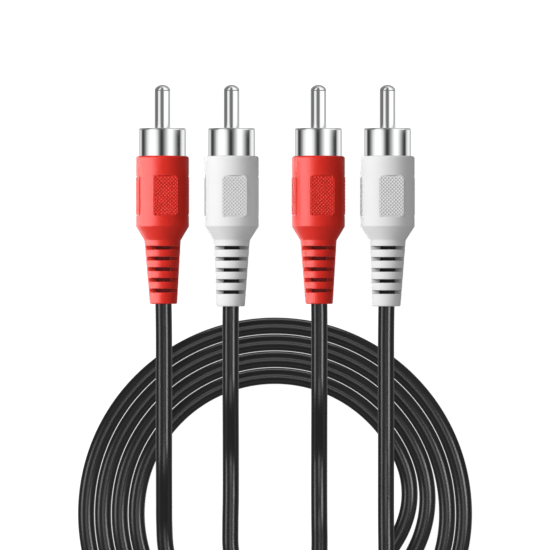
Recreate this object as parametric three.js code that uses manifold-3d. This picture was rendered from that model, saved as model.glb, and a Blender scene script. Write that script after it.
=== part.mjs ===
// A stereo phono cable: four moulded plugs, pins pointing along +Y, on two round leads that are
// wound together into one flat coil. Millimetres, +Z up. The cable lies flat on z = 0, and the
// origin is on that surface, under the middle of the four plugs.

import * as THREE from 'three';
import { mergeVertices } from 'three/addons/utils/BufferGeometryUtils.js';
import Module from 'manifold-3d';

// Driving dimensions: the places of the four plugs
const outerPlugX = 23.2;
const innerPlugX = 8.95;

// Driving dimensions: the housing, from its front face back to the end of the strain relief
const bodyDiameter = 10.9;
const bodyLength = 14.5;
const frontRounding = 0.5;
const coneLength = 2.85;
const reliefLength = 13.1;
const reliefTopDiameter = 7.36;
const reliefEndDiameter = 5.5;
const reliefEndRounding = 0.25;

// Driving dimensions: the slots that make the strain relief bend
const slotCount = 5;
const slotHeight = 0.74;
const slotPitch = 2.2;
const firstSlotDrop = 1.55;
const webThickness = 1.32;

// Driving dimensions: the four flat grip pads
const padCount = 4;
const padWidth = 5.2;
const padLength = 8.15;
const padCornerRadius = 0.6;
const padFlatHeight = 5.0;
const padSetback = 4.1;
const housingTurn = THREE.MathUtils.degToRad(7.6);

// Driving dimensions: the ground shell
const shellDiameter = 9.5;
const shellWall = 0.6;
const shellReach = 5.7;
const shellSeatDepth = 3.2;
const shellBaseThickness = 0.6;
const shellRimRounding = 0.15;
const shellBaseHoleDiameter = 5.2;
const tabWidth = 2.4;
const tabThickness = 0.5;
const tabLength = 5.4;
const tabHeight = 2.7;

// Driving dimensions: the centre pin and its insulator
const pinDiameter = 3.2;
const pinReach = 9.0;
const pinTipLength = 1.3;
const pinShankDiameter = 2.2;
const pinTailDepth = 6.2;
const solderCupDepth = 1.6;
const insulatorFrontReach = 0.8;
const insulatorBossLength = 0.7;

// Driving dimensions: the inner mould and the wires that it holds
const innerMouldDiameter = 8.6;
const innerMouldLength = 10.3;
const jacketEndDepth = 11.6;
const conductorDiameter = 0.7;
const coreDiameter = 1.7;
const coreFrontDepth = 7.2;
const pigtailDiameter = 0.7;

// Driving dimensions: the leads and their coil
const leadDiameter = 3.3;
const coilCentreY = -66;
const coilInnerLaneRadius = 28.5;
const coilLanePitch = 3.46;
const coilLaneCount = 4;
const coilEdgeRounding = 0.6;

// Clearances
const fitClearance = 0.1;
const wireClearance = 0.3;

// Facets round each turned piece
const housingSides = 20;
const pinSides = 16;
const boreSides = 12;
const wireSides = 8;
const coilSides = 40;
const leadSteps = 20;

// Worked out from the driving dimensions, along a plug's own axis: 0 is the housing's front face
const bodyRadius = bodyDiameter / 2;
const shellRadius = shellDiameter / 2;
const shellBoreRadius = shellRadius - shellWall;
const leadRadius = leadDiameter / 2;
const leadBoreRadius = leadRadius + wireClearance;
const coneStart = -bodyLength;
const reliefTop = coneStart - coneLength;
const reliefEnd = reliefTop - reliefLength;
const pinTip = shellReach + pinReach;
const shellSeat = -shellSeatDepth;
const innerMouldEnd = shellSeat - innerMouldLength;
const plugMiddle = (pinTip + reliefEnd) / 2;
const innerMouldRadius = innerMouldDiameter / 2;
const shankRadius = pinShankDiameter / 2;
const tabTop = tabHeight + tabThickness;
const tabEnd = shellSeat - tabLength;

const wasm = await Module();
wasm.setup();

// A closed geometry as a solid that can be joined and cut
function toSolid(geometry) {
  const bare = geometry.clone();
  bare.deleteAttribute('normal');
  bare.deleteAttribute('uv');
  const merged = mergeVertices(bare, 1e-4);
  const corners = merged.index.array;
  const triangles = [];
  for (let i = 0; i < corners.length; i += 3) {
    const [a, b, c] = corners.slice(i, i + 3);
    if (a !== b && b !== c && c !== a) triangles.push(a, b, c);
  }
  return new wasm.Manifold(new wasm.Mesh({
    numProp: 3,
    vertProperties: new Float32Array(merged.attributes.position.array),
    triVerts: new Uint32Array(triangles),
  }));
}

// A joined and cut solid as a geometry again
function toGeometry(solid) {
  const mesh = solid.getMesh();
  const geometry = new THREE.BufferGeometry();
  geometry.setAttribute('position', new THREE.BufferAttribute(mesh.vertProperties, 3));
  geometry.setIndex(new THREE.BufferAttribute(mesh.triVerts, 1));
  geometry.computeVertexNormals();
  return geometry;
}

// A solid turned about the plug's axis, from [radius, place along the axis] pairs, back to front
function turned(profile, sides) {
  return new THREE.LatheGeometry(profile.map(([r, y]) => new THREE.Vector2(r, y)), sides);
}

// The [radius, place] pairs of a quarter round from one angle to another, in degrees
function quarterRound(centreR, centreY, radiusR, radiusY, fromDegrees, toDegrees, steps) {
  const points = [];
  for (let i = 0; i <= steps; i += 1) {
    const angle = THREE.MathUtils.degToRad(fromDegrees + ((toDegrees - fromDegrees) * i) / steps);
    points.push([centreR + radiusR * Math.cos(angle), centreY + radiusY * Math.sin(angle)]);
  }
  return points;
}

// A round bore to cut along the plug's axis, as steps of [radius, back, front]
function boreCutter(steps) {
  const profile = steps.flatMap(([r, back, front]) => [[r, back], [r, front]]);
  const [first, last] = [profile[0], profile[profile.length - 1]];
  return toSolid(turned([[0, first[1]], ...profile, [0, last[1]]], boreSides));
}

// A block from its lowest and highest corners
function block(low, high) {
  const size = high.map((value, axis) => value - low[axis]);
  const middle = high.map((value, axis) => (value + low[axis]) / 2);
  return new THREE.BoxGeometry(...size).translate(...middle);
}

// A rectangle with round corners, centred on x = 0, from one place along Y to another
function roundedRectangle(width, back, front, cornerRadius) {
  const side = width / 2;
  const shape = new THREE.Shape();
  shape.moveTo(-side + cornerRadius, back);
  shape.lineTo(side - cornerRadius, back);
  shape.absarc(side - cornerRadius, back + cornerRadius, cornerRadius, -Math.PI / 2, 0);
  shape.lineTo(side, front - cornerRadius);
  shape.absarc(side - cornerRadius, front - cornerRadius, cornerRadius, 0, Math.PI / 2);
  shape.lineTo(-side + cornerRadius, front);
  shape.absarc(-side + cornerRadius, front - cornerRadius, cornerRadius, Math.PI / 2, Math.PI);
  shape.lineTo(-side, back + cornerRadius);
  shape.absarc(-side + cornerRadius, back + cornerRadius, cornerRadius, Math.PI, Math.PI * 1.5);
  return shape;
}

// A slab of a flat outline, from one height to another
function slab(shape, low, high) {
  return new THREE.ExtrudeGeometry(shape, {
    depth: high - low,
    bevelEnabled: false,
    curveSegments: 3,
  }).translate(0, 0, low);
}

// A round wire along a smooth curve through points
function wire(points, diameter, steps) {
  const section = new THREE.Shape();
  section.absarc(0, 0, diameter / 2, 0, Math.PI * 2);
  return new THREE.ExtrudeGeometry(section, {
    steps,
    bevelEnabled: false,
    curveSegments: wireSides / 2,
    extrudePath: new THREE.CatmullRomCurve3(points.map((point) => new THREE.Vector3(...point))),
  });
}

// The moulded housing: body, cone and strain relief in one turned shape, with flat pads raised on
// its sides and sunk at their middles, and slots cut down to the lead from above and below
function housingGeometry() {
  const reliefTopRadius = reliefTopDiameter / 2;
  const reliefEndRadius = reliefEndDiameter / 2;
  const cavityRadius = innerMouldRadius + fitClearance;
  const socketRadius = shellRadius + fitClearance;
  const outside = [
    [0, reliefEnd],
    ...quarterRound(reliefEndRadius - reliefEndRounding, reliefEnd + reliefEndRounding,
      reliefEndRounding, reliefEndRounding, -90, 0, 1),
    [reliefTopRadius, reliefTop],
    [bodyRadius, coneStart],
    ...quarterRound(bodyRadius - frontRounding, -frontRounding,
      frontRounding, frontRounding, 0, 90, 2),
  ];
  const inside = [
    [socketRadius, 0],
    [socketRadius, shellSeat],
    [cavityRadius, shellSeat],
    [cavityRadius, innerMouldEnd],
    [0, innerMouldEnd],
  ];
  let housing = toSolid(turned([...outside, ...inside], housingSides));
  housing = housing.subtract(boreCutter([[leadBoreRadius, reliefEnd - 1, innerMouldEnd + 1]]));

  const padOutline = roundedRectangle(padWidth, -padSetback - padLength, -padSetback, padCornerRadius);
  const padRoot = (cavityRadius + padFlatHeight) / 2;
  for (let i = 0; i < padCount; i += 1) {
    const angle = housingTurn + (i * Math.PI * 2) / padCount;
    const rib = slab(padOutline, padRoot, padFlatHeight).rotateY(angle);
    const recess = slab(padOutline, padFlatHeight, bodyRadius + 1).rotateY(angle);
    housing = housing.add(toSolid(rib)).subtract(toSolid(recess));
  }

  for (let i = 0; i < slotCount; i += 1) {
    const slotMiddle = reliefTop - firstSlotDrop - i * slotPitch;
    for (const side of [0, Math.PI]) {
      const slot = block(
        [-bodyRadius, slotMiddle - slotHeight / 2, webThickness / 2],
        [bodyRadius, slotMiddle + slotHeight / 2, bodyRadius],
      ).rotateY(housingTurn + side);
      housing = housing.subtract(toSolid(slot));
    }
  }
  return toGeometry(housing);
}

// The drawn metal shell: an open cup with a holed base and one solder tab behind it
function shellGeometry() {
  const baseHole = shellBaseHoleDiameter / 2;
  const cup = turned([
    [baseHole, shellSeat],
    [shellRadius, shellSeat],
    ...quarterRound(shellRadius - shellRimRounding, shellReach - shellRimRounding,
      shellRimRounding, shellRimRounding, 0, 90, 1),
    [shellBoreRadius, shellReach],
    [shellBoreRadius, shellSeat + shellBaseThickness],
    [baseHole, shellSeat + shellBaseThickness],
    [baseHole, shellSeat],
  ], housingSides);
  const tab = block(
    [-tabWidth / 2, tabEnd, tabHeight],
    [tabWidth / 2, shellSeat + shellBaseThickness / 2, tabTop],
  );
  return toGeometry(toSolid(cup).add(toSolid(tab)));
}

// The centre pin: a domed contact, a thinner shank through the insulator and a solder cup
function pinGeometry() {
  const pinRadius = pinDiameter / 2;
  const cupRadius = conductorDiameter / 2 + wireClearance;
  return turned([
    [0, -pinTailDepth + solderCupDepth],
    [cupRadius, -pinTailDepth + solderCupDepth],
    [cupRadius, -pinTailDepth],
    [shankRadius, -pinTailDepth],
    [shankRadius, insulatorFrontReach],
    [pinRadius, insulatorFrontReach],
    ...quarterRound(0, pinTip - pinTipLength, pinRadius, pinTipLength, 0, 66, 3),
    [0, pinTip],
  ], pinSides);
}

// The insulator that fills the bottom of the shell, with a boss through the hole in its base
function insulatorGeometry() {
  const bore = shankRadius + fitClearance;
  const discRadius = shellBoreRadius - fitClearance;
  const bossRadius = shellBaseHoleDiameter / 2 - fitClearance;
  const discBack = shellSeat + shellBaseThickness;
  const bossBack = shellSeat - insulatorBossLength;
  return turned([
    [bore, bossBack],
    [bossRadius, bossBack],
    [bossRadius, discBack],
    [discRadius, discBack],
    [discRadius, insulatorFrontReach],
    [bore, insulatorFrontReach],
    [bore, bossBack],
  ], pinSides);
}

// The inner mould that locks shell, pin and lead together under the housing, with a bore along its
// axis and a pocket above it for the solder tab and the twisted shield
function innerMouldGeometry() {
  const bossRecess = shellBaseHoleDiameter / 2 + fitClearance;
  const bossRecessEnd = shellSeat - insulatorBossLength - wireClearance;
  const pinBore = shankRadius + wireClearance;
  const jacketSeat = -jacketEndDepth + wireClearance;
  const body = turned([
    [0, innerMouldEnd],
    [innerMouldRadius, innerMouldEnd],
    [innerMouldRadius, shellSeat],
    [0, shellSeat],
  ], housingSides);
  const bore = boreCutter([
    [leadBoreRadius, innerMouldEnd - 1, jacketSeat],
    [pinBore, jacketSeat, bossRecessEnd],
    [bossRecess, bossRecessEnd, shellSeat + 1],
  ]);
  const tabPocket = block(
    [-tabWidth / 2 - wireClearance, tabEnd - wireClearance, tabHeight - wireClearance],
    [tabWidth / 2 + wireClearance, shellSeat + 1, tabTop + wireClearance],
  );
  const shieldPocket = block(
    [-pigtailDiameter / 2 - wireClearance, jacketSeat, 0],
    [pigtailDiameter / 2 + wireClearance, bossRecessEnd, tabHeight],
  );
  const pockets = toSolid(tabPocket).add(toSolid(shieldPocket));
  return toGeometry(toSolid(body).subtract(bore).subtract(pockets));
}

// The bare copper of the lead, from its jacket's end into the solder cup
function conductorGeometry() {
  const radius = conductorDiameter / 2;
  const front = -pinTailDepth + solderCupDepth - wireClearance;
  const back = -jacketEndDepth + wireClearance;
  return turned([[0, back], [radius, back], [radius, front], [0, front]], wireSides);
}

// The foam core that insulates the copper inside the lead
function coreGeometry() {
  const bore = conductorDiameter / 2 + fitClearance;
  const radius = coreDiameter / 2;
  const back = -jacketEndDepth + wireClearance;
  return turned([
    [bore, back],
    [radius, back],
    [radius, -coreFrontDepth],
    [bore, -coreFrontDepth],
    [bore, back],
  ], wireSides);
}

// The lead's shield, twisted into a pigtail that runs up to the underside of the solder tab
function pigtailGeometry() {
  const underTab = tabHeight - wireClearance - pigtailDiameter / 2;
  const overCore = coreDiameter / 2 + fitClearance + pigtailDiameter / 2;
  return wire([
    [0, -jacketEndDepth + 2 * wireClearance, overCore],
    [0, -coreFrontDepth - pigtailDiameter, (overCore + underTab) / 2],
    [0, -pinTailDepth, underTab],
    [0, shellSeat - 2 * insulatorBossLength, underTab],
  ], pigtailDiameter, 4);
}

// The flat coil that the two leads share, as the outer shape of all its turns
function coilGeometry() {
  const inner = coilInnerLaneRadius - leadRadius;
  const outer = coilInnerLaneRadius + (coilLaneCount - 1) * coilLanePitch + leadRadius;
  return turned([
    [inner, 0],
    [outer, 0],
    [outer, leadDiameter - coilEdgeRounding],
    [outer - coilEdgeRounding, leadDiameter],
    [inner + coilEdgeRounding, leadDiameter],
    [inner, leadDiameter - coilEdgeRounding],
    [inner, 0],
  ], coilSides).rotateX(Math.PI / 2);
}

// Materials: colours and finishes of the real pieces
const finishes = {
  redPvc: new THREE.MeshStandardMaterial({ color: 0xd8382c, roughness: 0.5, metalness: 0 }),
  whitePvc: new THREE.MeshStandardMaterial({ color: 0xe9e9e9, roughness: 0.5, metalness: 0 }),
  nickel: new THREE.MeshStandardMaterial({ color: 0xd7d8da, roughness: 0.12, metalness: 1 }),
  nylon: new THREE.MeshStandardMaterial({ color: 0xf1efe8, roughness: 0.45, metalness: 0 }),
  polyethylene: new THREE.MeshStandardMaterial({ color: 0xdedfda, roughness: 0.5, metalness: 0 }),
  copper: new THREE.MeshStandardMaterial({ color: 0xb8704a, roughness: 0.3, metalness: 1 }),
  tinnedCopper: new THREE.MeshStandardMaterial({ color: 0xa9a49c, roughness: 0.4, metalness: 1 }),
  blackPvc: new THREE.MeshStandardMaterial({ color: 0x17171a, roughness: 0.35, metalness: 0 }),
};

// The four plugs, left to right, with the side that each stands on and the colour of its housing
const plugs = [
  { name: 'red_a', x: -outerPlugX, housing: finishes.redPvc },
  { name: 'white_a', x: -innerPlugX, housing: finishes.whitePvc },
  { name: 'red_b', x: innerPlugX, housing: finishes.redPvc },
  { name: 'white_b', x: outerPlugX, housing: finishes.whitePvc },
];

// Each lead's run from its plug to the coil, as chosen points. The a ends drop inside the coil and
// join it from within; the b ends climb over its far side and come up through its middle.
const leadRuns = {
  red_a: [
    [-23.2, -24, 5.45], [-23.0, -30, 5.38], [-22.9, -37, 5.27], [-22.9, -45, 5.27],
    [-22.9, -52, 5.27], [-22.9, -57, 4.95], [-22.9, -62, 3.75], [-22.9, -67, 2.3],
    [-22.7, -72, 1.8], [-21.7, -77.5, 1.7], [-17.6, -83.6, 1.7], [-10.5, -88.5, 1.7],
    [-2.2, -90.8, 1.7], [7.2, -89.8, 1.7],
  ],
  white_a: [
    [-8.95, -24, 5.4], [-9.1, -30, 5.27], [-9.15, -36, 5.27], [-9.15, -41.5, 5.2],
    [-9.15, -45, 4.4], [-9.15, -49, 3.0], [-9.15, -53, 2.0], [-9.15, -58, 1.7],
    [-9.15, -66, 1.7], [-9.15, -73.3, 1.7], [-8.34, -77.9, 1.7], [-6.0, -81.9, 1.7],
    [-2.5, -84.9, 1.7], [1.9, -86.3, 1.7], [6.5, -86.25, 1.7], [10.9, -84.65, 1.7],
    [15.8, -82.8, 1.7],
  ],
  red_b: [
    [8.95, -24, 5.4], [9.1, -30, 5.27], [9.15, -36, 5.27], [9.15, -41.5, 5.2],
    [9.15, -45, 4.4], [9.15, -49, 3.0], [9.15, -53, 2.0], [9.15, -58, 1.7],
    [9.15, -64, 1.75], [9.15, -69, 2.4], [9.15, -74, 3.7], [8.8, -79.3, 4.8],
    [7.8, -83.1, 5.22], [6.1, -86.7, 5.27], [3.9, -89.9, 5.27], [1.1, -92.7, 5.27],
    [-2.1, -94.9, 5.27], [-5.7, -96.6, 5.27], [-9.5, -97.6, 5.27], [-13.4, -97.95, 5.27],
  ],
  white_b: [
    [23.2, -24, 5.45], [23.0, -30, 5.38], [22.9, -37, 5.27], [22.9, -45, 5.27],
    [22.9, -53, 5.27], [22.9, -60, 4.98], [22.9, -66, 4.78], [22.9, -71, 4.92],
    [22.9, -77, 5.22], [22.6, -80.3, 5.27], [21.7, -84.4, 5.27], [20.0, -88.4, 5.27],
    [17.7, -91.9, 5.27], [14.8, -95.0, 5.27], [11.4, -97.6, 5.27],
  ],
};

const cable = new THREE.Group();

function addPiece(parent, name, geometry, material) {
  const mesh = new THREE.Mesh(geometry, material);
  mesh.name = name;
  parent.add(mesh);
}

const housing = housingGeometry();
const shell = shellGeometry();
const pin = pinGeometry();
const insulator = insulatorGeometry();
const innerMould = innerMouldGeometry();
const conductor = conductorGeometry();
const core = coreGeometry();
const pigtail = pigtailGeometry();

for (const plug of plugs) {
  const group = new THREE.Group();
  group.position.set(plug.x, -plugMiddle, bodyRadius);
  addPiece(group, `${plug.name}_housing`, housing, plug.housing);
  addPiece(group, `${plug.name}_ground_shell`, shell, finishes.nickel);
  addPiece(group, `${plug.name}_centre_pin`, pin, finishes.nickel);
  addPiece(group, `${plug.name}_insulator`, insulator, finishes.nylon);
  addPiece(group, `${plug.name}_inner_mould`, innerMould, finishes.polyethylene);
  addPiece(group, `${plug.name}_conductor`, conductor, finishes.copper);
  addPiece(group, `${plug.name}_core_insulation`, core, finishes.polyethylene);
  addPiece(group, `${plug.name}_shield_pigtail`, pigtail, finishes.tinnedCopper);
  cable.add(group);

  const start = -plugMiddle - jacketEndDepth;
  const inPlug = [[plug.x, start, bodyRadius], [plug.x, (start - 24) / 2, bodyRadius]];
  const run = wire([...inPlug, ...leadRuns[plug.name]], leadDiameter, leadSteps);
  addPiece(cable, `${plug.name}_lead_run`, run, finishes.blackPvc);
}

const coil = new THREE.Group();
coil.position.y = coilCentreY;
addPiece(coil, 'lead_coil', coilGeometry(), finishes.blackPvc);
cable.add(coil);

export default cable;
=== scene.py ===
"""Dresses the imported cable: moulded plugs with knurled grip pads, bright shells and pins, two
coiled leads, and the stage that they lie on. Metres, with +Y towards the pins and +Z up."""

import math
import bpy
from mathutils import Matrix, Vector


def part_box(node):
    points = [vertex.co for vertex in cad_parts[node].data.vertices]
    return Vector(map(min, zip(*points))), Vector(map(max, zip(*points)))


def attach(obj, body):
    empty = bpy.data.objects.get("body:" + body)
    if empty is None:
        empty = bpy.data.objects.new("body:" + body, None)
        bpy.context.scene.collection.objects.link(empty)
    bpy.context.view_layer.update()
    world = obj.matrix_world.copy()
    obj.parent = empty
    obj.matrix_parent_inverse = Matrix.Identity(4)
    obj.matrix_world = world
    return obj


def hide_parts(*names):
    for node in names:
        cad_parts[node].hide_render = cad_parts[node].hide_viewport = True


bl_info = {
    "name": "Stereo phono cable",
    "version": (1, 0, 0),
    "blender": (4, 5, 0),
    "location": "3D View > Sidebar > Phono cable",
    "description": "Builds the cable's moulded plugs, plated contacts and coiled leads",
    "category": "Object",
}

from types import SimpleNamespace

import bpy
import numpy as np
from bpy.props import FloatProperty, FloatVectorProperty, PointerProperty

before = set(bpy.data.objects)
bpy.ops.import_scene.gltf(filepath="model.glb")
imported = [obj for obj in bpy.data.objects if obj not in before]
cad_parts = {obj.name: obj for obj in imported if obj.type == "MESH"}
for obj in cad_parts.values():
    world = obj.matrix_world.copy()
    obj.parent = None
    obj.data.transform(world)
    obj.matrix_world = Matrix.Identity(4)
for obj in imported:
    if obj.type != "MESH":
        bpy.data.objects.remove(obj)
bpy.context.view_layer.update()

MM = 0.001
SHARP_ANGLE = math.radians(35)
PLUGS = {"red_a": "red_pvc", "white_a": "white_pvc", "red_b": "red_pvc", "white_b": "white_pvc"}
PIN_LOW, PIN_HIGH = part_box("red_a_centre_pin")
AXIS_HEIGHT = (PIN_LOW.z + PIN_HIGH.z) / 2
HOUSING_LOW, HOUSING_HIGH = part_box("red_a_housing")
FRONT_FACE = HOUSING_HIGH.y
COIL_LOW, COIL_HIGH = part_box("lead_coil")
COIL_CENTRE = np.array([(COIL_LOW.x + COIL_HIGH.x) / 2, (COIL_LOW.y + COIL_HIGH.y) / 2])


def length(name, description, default):
    """A size in metres, as a property that a user can change."""
    return FloatProperty(name=name, description=description, default=default,
                         unit="LENGTH", precision=5, min=0.0)


def colour(name, description, default):
    """A colour, as a property that a user can change."""
    return FloatVectorProperty(name=name, description=description, default=default,
                               subtype="COLOR", size=3, min=0.0, max=1.0)


def share(name, description, default):
    """A number from 0 to 1, as a property that a user can change."""
    return FloatProperty(name=name, description=description, default=default,
                         subtype="FACTOR", min=0.0, max=1.0)


def amount(name, description, default):
    """A plain number, as a property that a user can change."""
    return FloatProperty(name=name, description=description, default=default, min=0.0)


class HousingSizes(bpy.types.PropertyGroup):
    """Sizes of one moulded housing, along the plug's axis from its front face back."""

    body_radius: length("Body radius", "Half the width of the round body", 5.45 * MM)
    body_length: length("Body length", "From the front face to the cone", 14.5 * MM)
    front_rounding: length("Front rounding", "Radius of the body's front edge", 0.5 * MM)
    cone_length: length("Cone length", "From the body to the strain relief", 2.85 * MM)
    relief_top_radius: length("Relief top radius", "Strain relief at the cone", 3.75 * MM)
    relief_end_radius: length("Relief end radius", "Strain relief at the lead's exit", 2.82 * MM)
    relief_length: length("Relief length", "From the cone to the lead's exit", 13.1 * MM)
    edge_rounding: length("Edge rounding", "Radius of the edges of each slot", 0.13 * MM)
    slot_pitch: length("Slot pitch", "From one slot's middle to the next", 2.2 * MM)
    slot_height: length("Slot height", "Width of each slot along the axis", 0.74 * MM)
    slot_drop: length("First slot", "From the relief's top to the first slot's middle", 1.55 * MM)
    web_thickness: length("Web thickness", "Ribs that join the rings at both sides", 1.32 * MM)
    web_inset: length("Web inset", "How far the ribs lie inside the rings", 0.07 * MM)
    lead_bore: length("Lead bore", "Radius of the hole for the lead", 1.80 * MM)
    web_root: length("Web root", "How near to the axis the ribs start", 1.5 * MM)
    socket_radius: length("Socket radius", "Radius of the seat of the shell", 4.85 * MM)
    socket_depth: length("Socket depth", "Depth of the seat of the shell", 3.2 * MM)
    cavity_radius: length("Cavity radius", "Radius round the inner mould", 4.4 * MM)
    cavity_depth: length("Cavity depth", "Where the inner mould ends", 13.5 * MM)
    exit_lean: length("Exit lean", "How far the relief's end stands left of the lead", 0.0)
    turn: FloatProperty(name="Turn", description="How far the housing is rolled about its axis",
                        default=math.radians(8.6), unit="ROTATION")


class WhiteChanges(bpy.types.PropertyGroup):
    """Where the white moulding differs from the red one, which comes from another mould."""

    body_radius: length("Body radius", "Half the width of the round body", 5.58 * MM)
    relief_length: length("Relief length", "From the cone to the lead's exit", 13.6 * MM)
    relief_top_radius: length("Relief top radius", "Strain relief at the cone", 3.75 * MM)
    relief_end_radius: length("Relief end radius", "Strain relief at the lead's exit", 3.01 * MM)
    slot_pitch: length("Slot pitch", "From one slot's middle to the next", 2.28 * MM)
    exit_lean: length("Exit lean", "How far the relief's end stands left of the lead", 0.08 * MM)
    turn: FloatProperty(name="Turn", description="How far the housing is rolled about its axis",
                        default=math.radians(7.2), unit="ROTATION")
    length: length("Pad length", "Grip pads along the plug's axis", 8.45 * MM)
    side_width: length("Side width", "Grip pads at the two sides, across", 4.0 * MM)
    flat_height: length("Flat height", "From the plug's axis to the pad's flat", 5.33 * MM)
    knurl_height: length("Knurl height", "Height of the raised points", 0.18 * MM)
    cross_depth: share("Cross depth", "Depth of the cross grooves, over the others'", 0.82)


class PadSizes(bpy.types.PropertyGroup):
    """Sizes of the four flat knurled grip pads of each housing."""

    width: length("Width", "Across the plug's axis, at the top and the bottom", 5.4 * MM)
    side_width: length("Side width", "Across the plug's axis, at the two sides", 4.9 * MM)
    length: length("Length", "Along the plug's axis", 8.15 * MM)
    setback: length("Setback", "From the front face to the pad", 4.1 * MM)
    corner: length("Corner", "Radius of the pad's corners", 0.6 * MM)
    flat_height: length("Flat height", "From the plug's axis to the pad's flat", 5.15 * MM)
    edge: length("Edge", "Width of the pad's sloping edge", 0.2 * MM)
    knurl_across: length("Knurl across", "From one raised point to the next, across", 0.72 * MM)
    knurl_along: length("Knurl along", "From one raised point to the next, along", 0.74 * MM)
    knurl_height: length("Knurl height", "Height of the raised points", 0.17 * MM)
    cross_depth: share("Cross depth", "Depth of the cross grooves, over the others'", 1.0)


class ContactSizes(bpy.types.PropertyGroup):
    """Sizes of the metal shell, the centre pin and the insulator between them."""

    shell_radius: length("Shell radius", "Outside of the shell", 4.82 * MM)
    shell_bore: length("Shell bore", "Inside of the shell", 4.2 * MM)
    shell_reach: length("Shell reach", "From the housing's front face to the rim", 5.7 * MM)
    shell_seat: length("Shell seat", "Depth of the shell's base in the housing", 3.2 * MM)
    base_thickness: length("Base thickness", "Metal of the shell's base", 0.6 * MM)
    base_hole: length("Base hole", "Radius of the hole in the shell's base", 2.6 * MM)
    rim_rounding: length("Rim rounding", "Radius of the rim's edges", 0.16 * MM)
    tab_width: length("Tab width", "Solder tab behind the shell", 2.4 * MM)
    tab_thickness: length("Tab thickness", "Metal of the solder tab", 0.5 * MM)
    tab_length: length("Tab length", "From the shell's base back", 5.4 * MM)
    tab_height: length("Tab height", "From the plug's axis to the tab", 2.7 * MM)
    pin_radius: length("Pin radius", "Centre contact", 1.62 * MM)
    pin_reach: length("Pin reach", "From the shell's rim to the pin's tip", 9.0 * MM)
    tip_length: length("Tip length", "The pin's rounded end", 1.3 * MM)
    shank_radius: length("Shank radius", "The pin inside the insulator", 1.1 * MM)
    tail_depth: length("Tail depth", "How far the solder cup reaches back", 6.2 * MM)
    cup_radius: length("Cup radius", "Inside of the solder cup", 0.65 * MM)
    cup_depth: length("Cup depth", "Depth of the solder cup", 1.6 * MM)
    insulator_reach: length("Insulator reach", "Insulator in front of the housing", 0.8 * MM)
    boss_length: length("Boss length", "Boss behind the shell's base", 0.7 * MM)
    gap: length("Gap", "Clearance round the insulator", 0.1 * MM)


class LeadSizes(bpy.types.PropertyGroup):
    """Sizes of the two leads and of the flat coil that they share."""

    diameter: length("Diameter", "Outside of the lead's jacket", 3.38 * MM)
    jacket_depth: length("Jacket depth", "Where the jacket ends inside the housing", 11.6 * MM)
    inner_lane: length("Inner lane", "Radius of the coil's innermost turn", 28.5 * MM)
    lane_pitch: length("Lane pitch", "From one turn to the next", 3.46 * MM)
    coil_height: length("Coil height", "Middle of the lead above the surface", 1.68 * MM)
    coil_stretch: amount("Coil stretch", "Width of the coil over its length", 1.006)
    grip_depth: length("Grip depth", "From the relief's end to where it grips the lead", 1.2 * MM)
    grip_edge: length("Grip edge", "Stretch over which the gripped lead turns matt", 0.3 * MM)


class Finishes(bpy.types.PropertyGroup):
    """Colours and finishes of the cable's materials."""

    red_pvc: colour("Red PVC", "Housing of the red channel", (0.70, 0.026, 0.016))
    white_pvc: colour("White PVC", "Housing of the white channel", (0.73, 0.73, 0.73))
    pvc_roughness: share("PVC roughness", "Of the moulded housings", 0.38)
    nickel: colour("Nickel", "Plating of the shells and pins", (0.84, 0.845, 0.85))
    nickel_roughness: share("Nickel roughness", "Of the plating", 0.02)
    black_pvc: colour("Black PVC", "Jacket of the leads", (0.004, 0.004, 0.0043))
    lead_roughness: share("Lead roughness", "Of the leads' jacket", 0.24)
    matt_roughness: share("Matt roughness", "Of the jacket inside a moulding", 0.85)
    # Painted light: inside a red moulding the jacket is painted with red light bounced off the
    # slot walls, and inside a white one with the slots' shade, darker than the jacket's own black
    red_painted_bounce: colour("Red painted bounce", "Jacket inside a red moulding", (0.032, 0.0006, 0.0005))
    white_painted_shade: colour("White painted shade", "Jacket inside a white moulding", (0.0015, 0.0015, 0.0015))
    nylon: colour("Nylon", "Insulator", (0.80, 0.78, 0.70))
    polyethylene: colour("Polyethylene", "Inner mould and foam core", (0.72, 0.74, 0.70))
    copper: colour("Copper", "Conductor", (0.72, 0.36, 0.20))
    tinned_copper: colour("Tinned copper", "Twisted shield", (0.52, 0.50, 0.46))


class StageSizes(bpy.types.PropertyGroup):
    """The camera, the lamps and the surroundings that the metal mirrors."""

    camera_height: length("Camera height", "Above the surface", 0.9)
    camera_along: FloatProperty(name="Camera place", description="Along the plugs' axes",
                                default=-16.62 * MM, unit="LENGTH", precision=5)
    picture_width: length("Picture width", "Shown across, at the plugs' axes", 113.4 * MM)
    key_radiance: amount("Key lamp", "Radiance of the large lamp at the left", 12.5)
    gloss_radiance: amount("Gloss lamps", "Radiance of the lamps for the mouldings' gloss", 30.0)
    left_radiance: amount("Left streak", "Radiance of the leads' lamp at the left", 24.0)
    right_radiance: amount("Right streak", "Radiance of the leads' lamp at the right", 52.0)
    top_radiance: amount("Top streaks", "Radiance of the leads' two lamps near overhead", 15.0)
    edge_radiance: amount("Edge streak", "Radiance of the low lamp beyond the coil", 12.0)
    ambient: amount("Ambient", "Even light from all sides", 0.46)
    floor_glow: amount("Floor glow", "Brightness of the white surface by itself", 0.97)


# Shapes as grids of points


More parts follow.
